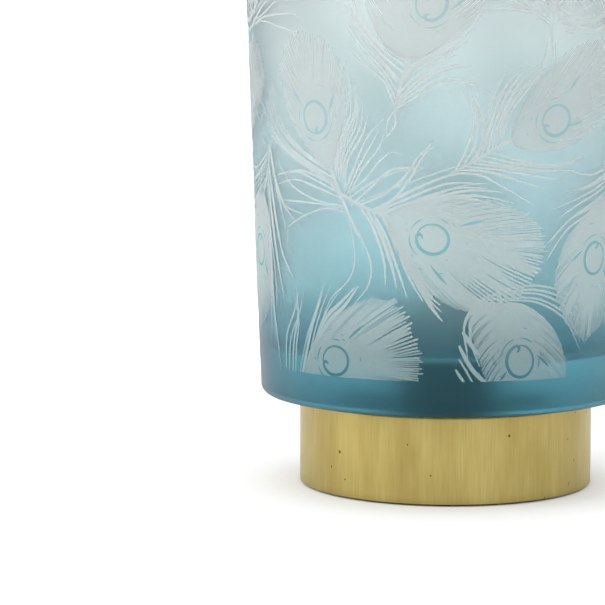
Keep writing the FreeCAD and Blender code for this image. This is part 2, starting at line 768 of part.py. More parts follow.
def screw(x, y, seat, head, head_radius, core, length, up):
    """A cross-headed screw, its head seated at z = seat. Its core points up if up is 1, or down if -1."""
    body = joined([
        disc(head_radius, *sorted((seat, seat - up * head)), x, y),
        disc(core, *sorted((seat - up * head / 2, seat + up * length)), x, y),
    ])
    arm = head_radius * 0.55
    slot = head_radius * 0.16
    depth = sorted((seat - up * head * 0.5, seat - up * (head + 1)))
    return without(body, [
        block(span(x, arm), span(y, slot), depth),
        block(span(x, slot), span(y, arm), depth),
    ])


def base_screws():
    """The three screws that hold the base plate to the standoffs."""
    seat = PLATE_UNDER + COUNTERBORE
    head = COUNTERBORE - 0.1
    places = around(STANDOFF_ANGLES, STANDOFF_CIRCLE)
    return Part.makeCompound([screw(x, y, seat, head, SCREW_HEAD, SCREW_CORE, 9.0, 1) for x, y in places])


def board_screws():
    """The two screws that hold the board to its posts."""
    places = [(side * POST_X, BOARD_CENTRE_Y) for side in (-1, 1)]
    return Part.makeCompound([screw(x, y, BOARD_TOP, 1.2, 1.9, 0.8, 4.5, -1) for x, y in places])


# ---- wires in the drum ----
def socket_wire(side):
    """From the board up in front of the tray, then back over it into a socket terminal."""
    start_x = side * (TERMINAL_X + 6.0)
    start_y = BOARD_CENTRE_Y + 4.5
    return wire([
        (start_x, start_y, BOARD_TOP),
        (start_x, start_y, SOCKET_WIRE_Z),
        (side * TERMINAL_X, TRAY_FRONT + 6.0, SOCKET_WIRE_Z),
        (side * TERMINAL_X, 0.5, SOCKET_WIRE_Z),
    ], WIRE_RADIUS, WIRE_BEND)


def battery_wire(side, cell):
    """From the lone cell's lug over the tray's top, then down in front of it to the board."""
    end_x = side * (TERMINAL_X + 10.0)
    end_y = BOARD_CENTRE_Y + 4.5
    return wire([
        (side * (CONTACT_FACE - WIRE_RADIUS), cell_y(cell), BATTERY_WIRE_Z),
        (end_x, end_y, BATTERY_WIRE_Z),
        (end_x, end_y, BOARD_TOP),
    ], WIRE_RADIUS, WIRE_BEND)


NODES = {
    "glass_shade": glass_shade,
    "base_drum": base_drum,
    "lower_gasket": lower_gasket,
    "upper_gasket": upper_gasket,
    "clamp_ring": clamp_ring,
    "socket_body": socket_body,
    "socket_shell": socket_shell,
    "centre_contact": centre_contact,
    "socket_terminals": socket_terminals,
    "bulb_cap": bulb_cap,
    "bulb_insulator": bulb_insulator,
    "bulb_tip": bulb_tip,
    "bulb_globe": bulb_globe,
    "bulb_stem": bulb_stem,
    "bulb_filaments": bulb_filaments,
    "bulb_leads": bulb_leads,
    "weight_ring": weight_ring,
    "standoffs": standoffs,
    "base_plate": base_plate,
    "base_screws": base_screws,
    "battery_door": battery_door,
    "feet": feet,
    "battery_1": lambda: battery(0),
    "battery_2": lambda: battery(1),
    "battery_3": lambda: battery(2),
    "contact_plates": contact_plates,
    "contact_springs": contact_springs,
    "circuit_board": circuit_board,
    "board_screws": board_screws,
    "timer_chip": timer_chip,
    "capacitor": capacitor,
    "quartz_crystal": quartz_crystal,
    "resistors": resistors,
    "switch_housing": switch_housing,
    "switch_slider": switch_slider,
    "socket_wire_red": lambda: socket_wire(1),
    "socket_wire_black": lambda: socket_wire(-1),
    "battery_wire_red": lambda: battery_wire(1, 0),
    "battery_wire_black": lambda: battery_wire(-1, 2),
}


def main():
    os.makedirs("parts", exist_ok=True)
    for name, make in NODES.items():
        shape = make()
        state = "ok" if shape.isValid() and shape.Volume > 0 else "NOT VALID"
        print(f"{name:20s} {state:10s} solids {len(shape.Solids)} volume {shape.Volume:10.1f}")
        shape.exportStep(os.path.join("parts", name + ".step"))


main()
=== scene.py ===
"""Looks for the cordless glass table lamp: frosted teal glass with a feather print, on a brass drum.

The glass and drum are turned again at a finer pitch than the CAD mesh, the battery springs are wound, and
the print is added. Metres, +Z up, the front is -Y, as in the CAD frame.
"""
import json
import math
import random
from collections import namedtuple

import bmesh
import bpy
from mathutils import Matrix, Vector


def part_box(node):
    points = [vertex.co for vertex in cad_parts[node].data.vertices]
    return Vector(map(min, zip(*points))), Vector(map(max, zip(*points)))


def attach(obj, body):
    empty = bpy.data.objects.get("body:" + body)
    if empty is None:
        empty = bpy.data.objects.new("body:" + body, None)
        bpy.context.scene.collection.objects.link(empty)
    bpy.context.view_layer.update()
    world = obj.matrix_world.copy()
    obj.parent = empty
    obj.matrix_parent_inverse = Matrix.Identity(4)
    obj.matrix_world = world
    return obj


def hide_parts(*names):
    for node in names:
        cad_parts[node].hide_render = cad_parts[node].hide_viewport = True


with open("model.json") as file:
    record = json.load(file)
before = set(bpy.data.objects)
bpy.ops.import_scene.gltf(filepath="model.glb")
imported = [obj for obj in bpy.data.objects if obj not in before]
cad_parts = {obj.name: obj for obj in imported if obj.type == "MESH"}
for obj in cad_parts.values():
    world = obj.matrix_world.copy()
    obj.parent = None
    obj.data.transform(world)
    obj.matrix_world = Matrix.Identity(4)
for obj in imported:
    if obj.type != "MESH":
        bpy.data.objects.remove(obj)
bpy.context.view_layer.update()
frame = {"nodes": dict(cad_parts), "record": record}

MM = 0.001
SEGMENTS = 256
SAME_POINT = 1e-7

# ---- sizes of the glass, from the frame's boxes ----
GLASS_LOW, GLASS_HIGH = (corner.z for corner in map(Vector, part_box("glass_shade")))
DRUM_LOW, DRUM_HIGH = (corner.z for corner in map(Vector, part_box("base_drum")))
DRUM_RADIUS = Vector(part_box("base_drum")[1]).x
RIM_RADIUS = Vector(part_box("glass_shade")[1]).x
GLASS_TAPER = 0.035
GLASS_WALL = 2.8 * MM
GLASS_FLOOR = 15.0 * MM
FOOT_ROUND = 2.6 * MM
INNER_ROUND = 6.0 * MM
GLASS_HOLE = 15.5 * MM


# ---- mesh helpers ----
def new_object(name, mesh, material, body, replaced=()):
    """A piece that rides on a body, wears the given material, and hides the CAD nodes it stands for."""
    obj = bpy.data.objects.new(name, mesh)
    bpy.context.collection.objects.link(obj)
    mesh.materials.append(material)
    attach(obj, body)
    if replaced:
        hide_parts(*replaced)
    return obj


def smooth(mesh, angle=35):
    """Smooth shading, with edges sharper than the angle kept crisp."""
    for face in mesh.polygons:
        face.use_smooth = True
    mesh.set_sharp_from_angle(angle=math.radians(angle))


def arc(centre, radius, start, end, steps):
    """Points on an arc in the (radius, height) plane, with both ends. Angles are in degrees."""
    points = []
    for i in range(steps + 1):
        a = math.radians(start + (end - start) * i / steps)
        points.append((centre[0] + radius * math.cos(a), centre[1] + radius * math.sin(a)))
    return points


def line(start, end, steps):
    """Points along a line, with both ends."""
    return [tuple(a + (b - a) * i / steps for a, b in zip(start, end)) for i in range(steps + 1)]


def turned(name, outline):
    """A mesh from a closed outline of (radius, height) points turned round Z."""
    mesh = bpy.data.meshes.new(name)
    kept = [p for i, p in enumerate(outline) if math.dist(p, outline[i - 1]) > SAME_POINT]
    verts = []
    for i in range(SEGMENTS):
        a = 2 * math.pi * i / SEGMENTS
        verts += [(r * math.sin(a), -r * math.cos(a), z) for r, z in kept]
    count = len(kept)
    faces = []
    for i in range(SEGMENTS):
        here = i * count
        there = (i + 1) % SEGMENTS * count
        for j in range(count):
            k = (j + 1) % count
            faces.append((here + j, there + j, there + k, here + k))
    mesh.from_pydata(verts, [], faces)
    build = bmesh.new()
    build.from_mesh(mesh)
    bmesh.ops.remove_doubles(build, verts=build.verts, dist=SAME_POINT)
    bmesh.ops.recalc_face_normals(build, faces=build.faces)
    build.to_mesh(mesh)
    build.free()
    return mesh


# ---- material helpers ----
def material(name):
    """A new material with its nodes, its links and its Principled shader."""
    made = bpy.data.materials.new(name)
    made.use_nodes = True
    tree = made.node_tree
    return made, tree, tree.nodes["Principled BSDF"]


def node(tree, kind, **settings):
    """A node with settings on it. A setting that names an input socket sets its value."""
    made = tree.nodes.new(kind)
    for key, value in settings.items():
        if hasattr(made, key):
            setattr(made, key, value)
        else:
            made.inputs[key.replace("_", " ")].default_value = value
    return made


def srgb(red, green, blue):
    """A linear RGBA colour from 0-255 screen values."""
    def linear(value):
        value /= 255
        return value / 12.92 if value <= 0.04045 else ((value + 0.055) / 1.055) ** 2.4
    return (linear(red), linear(green), linear(blue), 1.0)


def ramp(tree, stops, source):
    """A colour ramp of (position, colour) stops, driven by a socket."""
    made = tree.nodes.new("ShaderNodeValToRGB")
    elements = made.color_ramp.elements
    while len(elements) < len(stops):
        elements.new(0.5)
    for element, (position, colour) in zip(elements, stops):
        element.position = position
        element.color = colour
    tree.links.new(source, made.inputs["Fac"])
    return made.outputs["Color"]


def height(tree, low, high):
    """0 at the low height to 1 at the high one, in metres above the table."""
    place = tree.nodes.new("ShaderNodeTexCoord")
    parts = tree.nodes.new("ShaderNodeSeparateXYZ")
    scale = node(tree, "ShaderNodeMapRange")
    scale.inputs["From Min"].default_value = low
    scale.inputs["From Max"].default_value = high
    tree.links.new(place.outputs["Object"], parts.inputs[0])
    tree.links.new(parts.outputs["Z"], scale.inputs["Value"])
    return scale.outputs["Result"]


def noise(tree, scale, stretch=(1, 1, 1), detail=4.0, roughness=0.6):
    """A noise value in object space, stretched by axis."""
    place = tree.nodes.new("ShaderNodeTexCoord")
    mapping = tree.nodes.new("ShaderNodeMapping")
    mapping.inputs["Scale"].default_value = stretch
    made = node(tree, "ShaderNodeTexNoise", Scale=scale, Detail=detail, Roughness=roughness)
    tree.links.new(place.outputs["Object"], mapping.inputs["Vector"])
    tree.links.new(mapping.outputs["Vector"], made.inputs["Vector"])
    return made.outputs["Fac"]


def ranged(tree, source, low, high, from_high=1.0):
    """A value moved from the range 0 to from_high to another range."""
    made = tree.nodes.new("ShaderNodeMapRange")
    made.inputs["From Max"].default_value = from_high
    made.inputs["To Min"].default_value = low
    made.inputs["To Max"].default_value = high
    tree.links.new(source, made.inputs["Value"])
    return made.outputs["Result"]


def grey(tree, value):
    """A value as a grey colour."""
    made = tree.nodes.new("ShaderNodeCombineColor")
    for channel in ("Red", "Green", "Blue"):
        tree.links.new(value, made.inputs[channel])
    return made.outputs[0]


def bump(tree, shader, source, strength, distance):
    """A bump on the shader's normal. The distance is in metres."""
    made = node(tree, "ShaderNodeBump", Strength=strength, Distance=distance)
    tree.links.new(source, made.inputs["Height"])
    tree.links.new(made.outputs["Normal"], shader.inputs["Normal"])


def mix(tree, factor, first, second, blend="MIX"):
    """Two colours mixed. Each of the three is a socket or a value."""
    made = tree.nodes.new("ShaderNodeMix")
    made.data_type = "RGBA"
    made.blend_type = blend
    for socket, value in ((0, factor), (6, first), (7, second)):
        if isinstance(value, bpy.types.NodeSocket):
            tree.links.new(value, made.inputs[socket])
        else:
            made.inputs[socket].default_value = value
    return made.outputs[2]


# ---- glass ----
GLASS_TONES = (
    (28.4, srgb(72, 136, 153)),
    (43.0, srgb(84, 152, 168)),
    (48.0, srgb(120, 186, 204)),
    (54.5, srgb(152, 206, 217)),
    (66.0, srgb(200, 234, 239)),
    (90.0, srgb(216, 238, 242)),
    (107.0, srgb(224, 241, 243)),
    (135.0, srgb(234, 244, 244)),
    (150.0, srgb(237, 244, 244)),
    (200.0, srgb(241, 245, 244)),
)


def by_height(tree, tones):
    """A colour that follows the height above the table, from (millimetres, colour) tones."""
    low = tones[0][0]
    high = tones[-1][0]
    stops = [((z - low) / (high - low), colour) for z, colour in tones]
    return ramp(tree, stops, height(tree, low * MM, high * MM))


def frosted_glass():
    """Acid-frosted glass, sprayed dark teal at its foot and fading to clear, deeper where seen edge on."""
    made, tree, shader = material("frosted_glass")
    facing = node(tree, "ShaderNodeLayerWeight", Blend=0.5).outputs["Facing"]
    edge_on = ramp(tree, ((0.46, srgb(255, 255, 255)), (0.88, srgb(134, 184, 197))), facing)
    toned = mix(tree, 1.0, by_height(tree, GLASS_TONES), edge_on, "MULTIPLY")
    grain = noise(tree, 2200.0, detail=2.0)
    speckle = ramp(tree, ((0.3, srgb(249, 249, 249)), (0.7, srgb(255, 255, 255))), grain)
    tree.links.new(mix(tree, 1.0, toned, speckle, "MULTIPLY"), shader.inputs["Base Color"])
    shader.inputs["Transmission Weight"].default_value = 0.88
    shader.inputs["IOR"].default_value = 1.45
    shader.inputs["Specular Tint"].default_value = (0.22, 0.26, 0.27, 1.0)
    frost = noise(tree, 900.0, detail=6.0, roughness=0.7)
    tree.links.new(ranged(tree, frost, 0.34, 0.42), shader.inputs["Roughness"])
    return made


def glass_outline():
    """The glass's outline: floor, foot, wall, melted rim and inside."""
    rim = GLASS_WALL / 2
    lean = math.degrees(math.atan(GLASS_TAPER))
    rim_z = GLASS_HIGH - rim
    foot_radius = RIM_RADIUS - (rim_z - GLASS_LOW - FOOT_ROUND) * GLASS_TAPER
    foot_corner = (foot_radius - FOOT_ROUND, GLASS_LOW + FOOT_ROUND)
    foot = arc(foot_corner, FOOT_ROUND, -90, -lean, 12)
    inside_z = GLASS_LOW + GLASS_FLOOR
    inner_z = inside_z + INNER_ROUND
    inner_wall = RIM_RADIUS - GLASS_WALL - (rim_z - inner_z) * GLASS_TAPER
    outline = line((GLASS_HOLE, GLASS_LOW), foot_corner[:1] + (GLASS_LOW,), 6)
    outline += foot
    outline += line(foot[-1], (RIM_RADIUS, rim_z), 60)
    outline += arc((RIM_RADIUS - rim, rim_z), rim, 0, 180, 12)
    outline += line((RIM_RADIUS - GLASS_WALL, rim_z), (inner_wall, inner_z), 60)
    outline += arc((inner_wall - INNER_ROUND, inner_z), INNER_ROUND, 0, -90, 14)
    outline += line((inner_wall - INNER_ROUND, inside_z), (GLASS_HOLE, inside_z), 6)
    return outline


def glass_shade():
    """The frosted glass."""
    mesh = turned("glass_shade_fine", glass_outline())
    smooth(mesh)
    return new_object("frosted_shade", mesh, frosted_glass(), "lamp", ["glass_shade"])


# ---- the feather print ----
# Places on the glass are (along, up): millimetres round the glass from its front, measured at
# PRINT_RADIUS, and millimetres above the table. The print's sizes are millimetres too.
PRINT_RADIUS = 60.0
PRINT_LOW = 39.3
PRINT_HIGH = 246.0
SECTORS = 3
GLASS_AT = 30.0
GLASS_RADIUS_THERE = 57.5
INK = 0.02
LAYER_STEP = 0.04
LAYERS = 5
SPECKS = 10
BARBS = 64
BARB_STEPS = 10
HAIR_STEPS = 20
EYE_SIZE = 4.3
EYE_LONGER = 1.1
BARB_BULGE = 0.3
RACHIS_SHARE = 0.8
SHARED_THROAT = 0.25

# A comb is a row of loose hairs that blend from the first to the last. A feather's left and right are
# the vane's outline on each side of its rachis, from the throat to the tip.
Comb = namedtuple("Comb", "first last count width")
Feather = namedtuple("Feather", "eye rachis left right stem combs")


def on_glass(point, lift, turn):
    """A print point on the outside of the glass, in metres."""
    radius = GLASS_RADIUS_THERE + GLASS_TAPER * (point[1] - GLASS_AT) + lift
    a = point[0] / PRINT_RADIUS + turn
    return Vector((radius * math.sin(a), -radius * math.cos(a), point[1])) * MM


def spline(points, steps):
    """A smooth line through points, by Catmull-Rom spans."""
    padded = [Vector(p) for p in (points[0], *points, points[-1])]
    smoothed = []
    for a, b, c, d in zip(padded, padded[1:], padded[2:], padded[3:]):
        for j in range(steps):
            t = j / steps
            square = (2 * a - 5 * b + 4 * c - d) * t**2
            cube = (3 * b - a - 3 * c + d) * t**3
            smoothed.append((2 * b + (c - a) * t + square + cube) / 2)
    smoothed.append(padded[-1])
    return smoothed


def pick(curve, share):
    """The point at a share of the way along a list of points."""
    place = min(max(share, 0.0), 1.0) * (len(curve) - 1)
    low = min(int(place), len(curve) - 2)
    return curve[low].lerp(curve[low + 1], place - low)


def bezier(start, control, end, t):
    """The point at t on a curve that bends towards its control point."""
    return start * (1 - t) ** 2 + control * 2 * t * (1 - t) + end * t**2


def crossways(direction):
    """The direction turned a quarter turn to its left."""
    return Vector((-direction.y, direction.x))


class Print:
    """Strips of ink on one sector of the glass, gathered into one mesh."""

    def __init__(self):
        self.verts = []
        self.faces = []

    def strip(self, left, right, lift):
        """A strip between two edges of (along, up) points, at a lift off the glass."""
        first = len(self.verts)
        for a, b in zip(left, right):
            self.verts += [(a.x, a.y, lift), (b.x, b.y, lift)]
        for i in range(len(left) - 1):
            k = first + 2 * i
            self.faces.append((k, k + 1, k + 3, k + 2))

    def stroke(self, points, width, lift, head=0.55, tail=0.12, fullest=0.35):
        """A drawn line. head and tail are its end widths, as shares, and fullest is its widest place."""
        left = []
        right = []
        count = len(points) - 1
        for i, point in enumerate(points):
            side = crossways(points[min(i + 1, count)] - points[max(i - 1, 0)]).normalized()
            t = i / count
            if t < fullest:
                share = head + (1 - head) * math.sin(math.pi / 2 * t / fullest)
            else:
                share = tail + (1 - tail) * math.cos(math.pi / 2 * (t - fullest) / (1 - fullest))
            left.append(point + side * width / 2 * share)
            right.append(point - side * width / 2 * share)
        self.strip(left, right, lift)


def draw_comb(ink, comb, lift, rng):
    """A row of loose hairs, each a little off the even blend between the first and the last."""
    first = spline(comb.first, 8)
    last = spline(comb.last, 8)
    for i in range(comb.count):
        blend = i / max(comb.count - 1, 1)
        if 0 < i < comb.count - 1:
            blend += rng.uniform(-0.35, 0.35) / comb.count
        drift = Vector((rng.uniform(-2.0, 2.0), rng.uniform(-2.0, 2.0)))
        reach = rng.uniform(0.86, 1.0)
        hair = []
        for j in range(HAIR_STEPS + 1):
            t = j / HAIR_STEPS
            hair.append(pick(first, t * reach).lerp(pick(last, t * reach), blend) + drift * t**2)
        width = comb.width * rng.uniform(0.8, 1.25)
        ink.stroke(hair, width, lift, tail=0.3, fullest=rng.uniform(0.25, 0.6))


def barb_between(rachis, edge, t):
    """A barb's curve, out from the rachis and bending forward to the outline."""
    root = pick(rachis, RACHIS_SHARE * max(0.0, t - SHARED_THROAT) / (1 - SHARED_THROAT))
    end = pick(edge, t)
    chord = end - root
    forward = (rachis[-1] - rachis[0]).normalized()
    return root, root + chord * 0.5 - forward * chord.length * BARB_BULGE, end


def draw_vane(ink, feather, lift, rng):
    """The vane: barbs that share their edges near the rachis and part in places at the outline."""
    rachis = spline(feather.rachis, 12)
    for outline in (feather.left, feather.right):
        edge = spline((feather.rachis[0], *outline, feather.rachis[-1]), 12)
        curves = [barb_between(rachis, edge, i / BARBS) for i in range(BARBS + 1)]
        slits = []
        for i in range(BARBS + 1):
            deep = rng.random() < 0.15 + 0.6 * i / BARBS
            slits.append(rng.uniform(0.35, 0.8) if deep else rng.uniform(0.88, 0.97))
        for i in range(1, BARBS):
            reach = rng.uniform(0.96, 1.02)
            left = []
            right = []
            for j in range(BARB_STEPS + 1):
                t = j / BARB_STEPS
                before, here, after = (bezier(*curves[k], t * reach) for k in (i - 1, i, i + 1))
                left.append(here.lerp(before, 0.5 * kept_width(t, slits[i - 1])))
                right.append(here.lerp(after, 0.5 * kept_width(t, slits[i])))
            ink.strip(left, right, lift)


def kept_width(t, slit):
    """The share of its width that a barb keeps, less and less past where the slit beside it starts."""
    if t <= slit:
        return 1.0
    return 1.0 - 0.45 * ((t - slit) / (1 - slit)) ** 0.5


def oval(feather, size, start, end, steps):
    """Points on an oval about the eye, by angle in degrees from the rachis's direction."""
    forward = (Vector(feather.rachis[-1]) - Vector(feather.rachis[0])).normalized()
    across = crossways(forward)
    points = []
    for i in range(steps + 1):
        a = math.radians(start + (end - start) * i / steps)
        along = forward * size * EYE_LONGER * math.cos(a)
        points.append(Vector(feather.eye) + along + across * size * math.sin(a))
    return points


def draw_eye(ink, feather, lift, rng):
    """The eye in the ground colour: a ring, a hook in its rear, parts of an outer ring, specks and veins."""
    ring = oval(feather, EYE_SIZE, 168, -184, steps=44)
    ink.stroke(ring, 1.0, lift, head=0.4, tail=0.75, fullest=0.85)
    hook = [oval(feather, EYE_SIZE * size, angle, angle, steps=1)[0]
            for size, angle in ((1.0, 176), (0.84, 172), (0.68, 178), (0.62, 190))]
    ink.stroke(spline(hook, 6), 1.0, lift, head=1.0, tail=0.3, fullest=0.2)
    for start, end in ((128, 172), (-176, -112), (60, 84)):
        ink.stroke(oval(feather, EYE_SIZE * 1.46, start, end, steps=10), 0.42, lift, head=0.3)
    for _ in range(SPECKS):
        angle = rng.uniform(0, 360)
        length = rng.uniform(4, 12)
        size = EYE_SIZE * rng.uniform(1.6, 2.4)
        ink.stroke(oval(feather, size, angle, angle + length, steps=3), 0.26, lift, head=0.4)
    rachis = spline(feather.rachis, 12)
    for outline, place in ((feather.left, 0.72), (feather.right, 0.62)):
        edge = spline((feather.rachis[0], *outline, feather.rachis[-1]), 12)
        curve = barb_between(rachis, edge, place)
        vein = [bezier(*curve, 0.42 + 0.24 * j / 8) for j in range(9)]
        ink.stroke(vein, 0.75, lift, head=0.15, fullest=0.6)


def placed(feather, eye, turn, size=1.0, flip=1):
    """The same feather drawn with its eye elsewhere, turned by degrees, resized and perhaps flipped."""
    cos = math.cos(math.radians(turn)) * size
    sin = math.sin(math.radians(turn)) * size

    def move(points):
        moved = []
        for along, up in points:
            x = (along - feather.eye[0]) * flip
            y = up - feather.eye[1]
            moved.append((eye[0] + x * cos - y * sin, eye[1] + x * sin + y * cos))
        return tuple(moved)

    combs = tuple(Comb(move(c.first), move(c.last), c.count, c.width) for c in feather.combs)
    lines = (move(feather.rachis), move(feather.left), move(feather.right), move(feather.stem))
    return Feather(eye, *lines, combs)


# These seven feathers are traced, not the builder's own drawing. Most of their points were marked along
# a reference photograph's printed strokes, and another script converted them to places on the glass. They
# break the rules on generic designs and on tables of numbers, so they are to be redrawn before any sharing.
UPRIGHT = Feather(
    eye=(-41.5, 115.5),
    rachis=((-36.5, 101), (-41.5, 115.5), (-47, 141)),
    left=((-43, 106.5), (-50, 112), (-55, 120), (-57, 129), (-53, 137)),
    right=((-33, 110), (-30, 122), (-32, 132), (-39, 139)),
    stem=((-36, 102), (-33, 94), (-30, 88), (-26, 80)),
    combs=(
        Comb(((-36, 101), (-45, 105), (-55, 112), (-60, 120), (-60, 129)),
             ((-34, 96), (-48, 102), (-59, 107), (-65, 113), (-67, 120)), 7, 0.65),
        Comb(((-33, 95), (-40, 98), (-49, 100), (-61, 98)),
             ((-32, 92), (-41, 95), (-50, 97), (-59, 95)), 3, 0.75),
        Comb(((-32, 90), (-41, 91), (-50, 94), (-54, 97), (-58, 102)),
             ((-31, 88), (-38, 89), (-48, 86), (-56, 82), (-57, 76)), 3, 0.6),
        Comb(((-36, 101), (-35, 107), (-32, 114), (-29, 122), (-31, 131)),
             ((-31, 95), (-30, 103), (-25, 111), (-23, 120)), 8, 0.65),
        Comb(((-31, 94), (-28, 101), (-24, 110), (-19, 115)),
             ((-30, 92), (-25, 101), (-19, 108), (-15, 117)), 3, 0.7),
        Comb(((-31, 93), (-24, 98), (-19, 103), (-15, 105), (-11, 104)),
             ((-29, 90), (-22, 96), (-16, 101), (-9, 102), (-3, 102)), 2, 0.7),
        Comb(((-27, 90), (-18, 94), (-12, 99), (-7, 106), (0, 108)),
             ((-25, 88), (-16, 92), (-11, 97), (-5, 106), (-2, 109)), 2, 1.1),
        Comb(((-30, 88), (-28, 76), (-30, 69), (-37, 63), (-42, 54)),
             ((-27, 84), (-23, 74), (-24, 67), (-29, 61), (-32, 58)), 2, 0.6),
    ),
)

LEVEL = Feather(
    eye=(-4, 81),
    rachis=((-17, 87.5), (-4, 81), (31, 76)),
    left=((-9, 91), (2, 93.5), (18, 91), (28, 85)),
    right=((-13, 77), (-7, 67), (3, 61), (14, 59), (25, 66)),
    stem=((-16, 87), (-25, 90), (-33, 94), (-38, 98)),
    combs=(
        Comb(((-21, 89), (-12, 94), (0, 99), (12, 99)),
             ((-19, 88), (-9, 91), (3, 95.5), (14, 96)), 4, 0.75),
        Comb(((-12, 89), (-2, 93), (8, 94.5), (18, 93)),
             ((-9, 90), (2, 93), (10, 93), (21, 90)), 3, 0.9),
        Comb(((-26, 90), (-22, 84), (-19, 74), (-19, 65)),
             ((-18, 88), (-14, 80), (-10, 70), (-5, 63)), 5, 1.1),
        Comb(((-18, 87), (-13, 77), (-8, 67), (-1, 60)),
             ((-17, 86), (-11, 73), (-3, 62), (2, 58)), 4, 1.0),
        Comb(((-30, 92), (-22, 97), (-14, 100), (-5, 100)),
             ((-27, 91), (-19, 94), (-8, 98), (2, 101)), 2, 0.6),
    ),
)

LOW = Feather(
    eye=(-35.5, 44),
    rachis=((-48, 36), (-35.5, 44), (-7, 47)),
    left=((-43, 50), (-34, 58), (-26, 62.5), (-17, 63.5), (-11, 58)),
    right=((-42, 31), (-28, 27), (-14, 31), (-8, 39)),
    stem=((-48, 36), (-55, 31), (-62, 28)),
    combs=(
        Comb(((-51, 38), (-47, 50), (-43, 58), (-40, 66)),
             ((-47, 38), (-43, 50), (-39, 58), (-33, 66)), 5, 0.7),
        Comb(((-44, 48), (-39, 56), (-33, 61), (-27, 66)),
             ((-43, 49), (-37, 56), (-32, 60), (-28, 65)), 2, 1.3),
        Comb(((-58, 37), (-57, 49), (-52, 56), (-48, 62)),
             ((-53, 37), (-52, 47), (-50, 56), (-52, 65)), 4, 0.7),
    ),
)

SIDE = Feather(
    eye=(-76, 74),
    rachis=((-70, 91), (-76, 74), (-79, 49)),
    left=((-65.5, 82), (-65, 70), (-67, 58)),
    right=((-79, 88), (-88, 80), (-92, 68), (-88, 56)),
    stem=((-70, 92), (-66, 99), (-64, 107)),
    combs=(
        Comb(((-64, 106), (-71, 101), (-80, 98), (-90, 99)),
             ((-69, 93), (-78, 88), (-88, 83), (-95, 74)), 8, 0.7),
        Comb(((-64, 107), (-61, 97), (-56, 89), (-49, 87), (-41, 85)),
             ((-64, 104), (-61, 94), (-58, 86), (-56, 78)), 3, 0.65),
        Comb(((-65, 100), (-62, 88), (-58, 76), (-52, 69)),
             ((-67, 95), (-65, 80), (-62, 66), (-61, 56)), 5, 0.7),
        Comb(((-66, 84), (-65, 72), (-64, 58), (-59, 38)),
             ((-67, 80), (-66, 68), (-66, 56), (-66, 46)), 4, 0.7),
    ),
)

DROPPED = Feather(
    eye=(23, 45),
    rachis=((17, 62), (23, 45), (27, 20)),
    left=((7, 60), (8, 51), (11, 42), (17, 28)),
    right=((30, 58), (38, 48), (40, 36), (35, 25)),
    stem=((17, 62), (14, 68), (8, 73)),
    combs=(
        Comb(((5, 54), (8, 50), (12, 45)), ((4, 50), (8, 43), (15, 37)), 2, 1.2),
        Comb(((4, 46), (6, 43), (9, 38)), ((3, 43), (5, 40), (7, 37)), 2, 0.8),
        Comb(((16, 65), (10, 63), (6, 56), (8, 46)), ((17, 62), (9, 60), (7, 52), (11, 41)), 3, 0.8),
        Comb(((18, 63), (28, 62), (38, 56), (44, 46)),
             ((16, 66), (28, 67), (40, 63), (50, 55)), 5, 0.8),
    ),
)

RISING = Feather(
    eye=(33, 115),
    rachis=((19, 109), (33, 115), (58, 131)),
    left=((22, 119), (31, 131), (44, 138), (54, 137)),
    right=((28, 106), (42, 109), (53, 117), (59, 125)),
    stem=((20, 110), (12, 106), (7, 103), (1, 100)),
    combs=(
        Comb(((2, 100), (6, 108), (8, 118), (4, 127)),
             ((6, 102), (11, 110), (9, 118), (7, 125)), 3, 0.75),
        Comb(((9, 105), (11, 113), (14, 123), (19, 130)),
             ((15, 107), (18, 117), (24, 126), (32, 133)), 6, 0.75),
        Comb(((1, 100), (9, 100), (17, 97), (28, 92)),
             ((14, 106), (24, 103), (36, 102), (46, 105)), 7, 0.75),
    ),
)

TALL = Feather(
    eye=(-4.5, 148.5),
    rachis=((-11, 133), (-4.5, 148.5), (3, 173)),
    left=((-19, 139), (-24, 150), (-20, 162), (-8, 172)),
    right=((-3, 136), (8, 145), (13, 157), (11, 168)),
    stem=((-10, 134), (-13, 126), (-15, 118)),
    combs=(
        Comb(((-15, 118), (-9, 122), (-2, 126), (5, 127), (12, 125)),
             ((-15, 121), (-11, 126), (-5, 131), (3, 135)), 5, 0.7),
        Comb(((-13, 126), (-8, 131), (0, 135), (8, 141)),
             ((-12, 130), (-4, 134), (6, 141), (13, 150)), 4, 0.7),
        Comb(((-15, 119), (-18, 126), (-24, 131), (-32, 138)),
             ((-11, 132), (-19, 137), (-26, 146), (-29, 156)), 8, 0.7),
        Comb(((-15, 118), (-17, 115), (-17, 111)), ((-15, 118), (-15, 113), (-18, 108)), 2, 0.6),
    ),
)

FEATHERS = (
    UPRIGHT,
    TALL,
    LEVEL,
    LOW,
    SIDE,
    DROPPED,
    RISING,
    placed(UPRIGHT, (-68, 170), 8, flip=-1),
    placed(TALL, (-31, 192), -18, 0.95),
    placed(UPRIGHT, (30, 172), -22),
    placed(LEVEL, (2, 218), 52, 0.9),
    placed(TALL, (-62, 222), 14, 0.9, flip=-1),
    placed(RISING, (40, 226), 30, 0.9),
)


